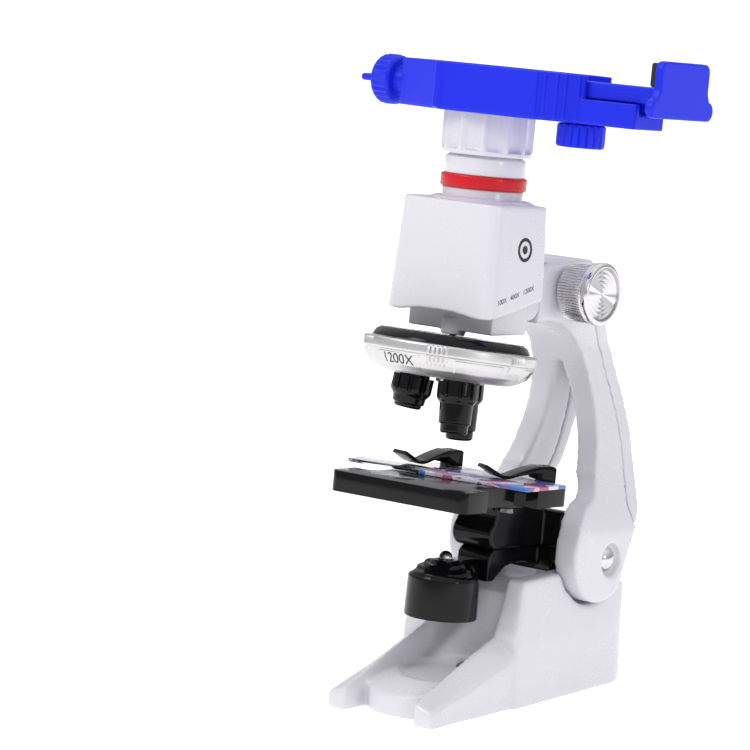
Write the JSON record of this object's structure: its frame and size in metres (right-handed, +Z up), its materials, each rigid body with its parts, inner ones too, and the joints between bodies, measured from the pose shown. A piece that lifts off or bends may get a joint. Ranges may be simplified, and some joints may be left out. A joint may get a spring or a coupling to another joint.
{
  "type": "kids microscope",
  "caption": "Upright toy microscope with a horseshoe base, tilting fork arm, focus knobs, lens turret, stage with clips and slide, flip lamp cup, and a clamp-on phone holder.",
  "frame": {"origin": "on the ground plane, on the base plate's underside, below the stage aperture", "axes": "+Z up, front toward -Y, +X to the right seen from the front"},
  "size_m": [0.132, 0.1227, 0.233],
  "materials": {
    "white_plastic": "gloss moulded ABS",
    "blue_plastic": "semi-gloss moulded plastic",
    "red_plastic": "gloss moulded plastic",
    "black_plastic": "gloss moulded plastic",
    "satin_silver": "satin metallised plastic",
    "chrome": "bright plated, knurled",
    "steel": "plain steel",
    "brass": "turned brass colour",
    "clear_lens": "clear moulded lens",
    "slide_plastic": "clear plastic slide with coloured specimen film",
    "battery_wrap": "printed sleeve, plain",
    "circuit_board": "board with solder mask",
    "mirror_glass": "silvered",
    "rubber_pad": "matt rubber"
  },
  "bodies": {
    "base": {"base_shell": "white_plastic", "base_plate": "white_plastic", "battery_cover": "white_plastic", "battery_right": "battery_wrap", "battery_left": "battery_wrap", "battery_contact_front": "steel", "battery_contact_rear": "steel", "base_screws": "steel"},
    "switch": {"power_switch": "black_plastic"},
    "arm": {"arm_frame": "white_plastic", "arm_back_cover": "white_plastic", "shaft_bushes": "brass", "pivot_bolt_right": "chrome", "pivot_bolt_left": "chrome", "pivot_nut_right": "steel", "pivot_nut_left": "steel", "stage": "black_plastic", "stage_screws": "steel", "stage_bracket": "black_plastic", "lamp_arm": "black_plastic"},
    "slide": {"specimen_slide": "slide_plastic"},
    "clip_right": {"clip_right": "black_plastic"},
    "clip_left": {"clip_left": "black_plastic"},
    "lamp": {"lamp_cup": "black_plastic", "led": "clear_lens", "led_board": "circuit_board", "mirror": "mirror_glass"},
    "focus": {"focus_shaft": "steel", "focus_pinion": "brass", "focus_knob_right": "chrome", "focus_knob_left": "chrome"},
    "head": {"head_shell": "white_plastic", "focus_carriage": "white_plastic", "focus_rack": "black_plastic", "nose_block": "white_plastic", "body_tube": "white_plastic", "red_ring": "red_plastic", "field_lens": "clear_lens"},
    "eyepiece": {"eyepiece_sleeve": "white_plastic", "eyepiece_lens": "clear_lens"},
    "turret": {"turret_bowl": "satin_silver", "turret_cap": "black_plastic", "turret_screw": "steel", "objective_1200": "black_plastic", "objective_400": "black_plastic", "objective_100": "black_plastic", "lens_1200": "clear_lens", "lens_400": "clear_lens", "lens_100": "clear_lens"},
    "holder": {"holder_frame": "blue_plastic"},
    "jaw": {"clamp_jaw": "blue_plastic"},
    "clamp_screw": {"clamp_screw": "blue_plastic"},
    "bar": {"slide_bar": "blue_plastic", "jaw_pad": "rubber_pad"},
    "lock": {"lock_knob": "blue_plastic"}
  },
  "joints": [
    {"name": "arm_tilt", "type": "hinge", "parent": "base", "child": "arm", "pos_m": [0, 0.062, 0.0473], "axis": [-1, 0, 0], "range_deg": [-4.4, 45]},
    {"name": "switch_slide", "type": "slide", "parent": "base", "child": "switch", "axis": [1, 0, 0], "range_m": [0, 0.0046]},
    {"name": "slide_shift", "type": "slide", "parent": "arm", "child": "slide", "axis": [0.9986, 0.0522, -0.004], "range_m": [-0.008, 0.008]},
    {"name": "clip_right_swing", "type": "hinge", "parent": "arm", "child": "clip_right", "pos_m": [0.0205, 0.02631, 0.07873], "axis": [0, 0.0767, 0.9971], "range_deg": [-25, 60]},
    {"name": "clip_left_swing", "type": "hinge", "parent": "arm", "child": "clip_left", "pos_m": [-0.0205, 0.02631, 0.07873], "axis": [0, 0.0767, 0.9971], "range_deg": [-60, 35]},
    {"name": "lamp_flip", "type": "hinge", "parent": "arm", "child": "lamp", "pos_m": [0, 0.01972, 0.04524], "axis": [0, 0.9971, -0.0767], "range_deg": [0, 180]},
    {"name": "focus_turn", "type": "hinge", "parent": "arm", "child": "focus", "pos_m": [0, 0.04805, 0.14496], "axis": [1, 0, 0], "range_deg": [-115, 72]},
    {"name": "head_slide", "type": "slide", "parent": "arm", "child": "head", "axis": [0, 0.0767, 0.9971], "range_m": [-0.005, 0.008]},
    {"name": "turret_turn", "type": "hinge", "parent": "head", "child": "turret", "pos_m": [0, -0.00588, 0.11661], "axis": [0, 0.1633, 0.9866], "continuous": true},
    {"name": "eyepiece_pull", "type": "slide", "parent": "head", "child": "eyepiece", "axis": [0, 0.0767, 0.9971], "range_m": [0, 0.01]},
    {"name": "holder_lift", "type": "slide", "parent": "eyepiece", "child": "holder", "axis": [0, 0.0767, 0.9971], "range_m": [0, 0.014]},
    {"name": "jaw_slide", "type": "slide", "parent": "holder", "child": "jaw", "axis": [1, 0, 0], "range_m": [-0.005, 0]},
    {"name": "screw_turn", "type": "hinge", "parent": "jaw", "child": "clamp_screw", "pos_m": [-0.034, 0.01284, 0.21652], "axis": [1, 0, 0], "range_deg": [-721, 1]},
    {"name": "bar_slide", "type": "slide", "parent": "holder", "child": "bar", "axis": [1, 0, 0], "range_m": [-0.007, 0.015]},
    {"name": "lock_turn", "type": "hinge", "parent": "holder", "child": "lock", "pos_m": [0.0388, 0.01221, 0.2083], "axis": [0, 0.0767, 0.9971], "range_deg": [0, 360]}
  ],
  "couplings": [
    {"joint": "focus_turn", "follows": "head_slide", "rad_per_m": -250},
    {"joint": "screw_turn", "follows": "jaw_slide", "rad_per_m": 2513.3}
  ]
}
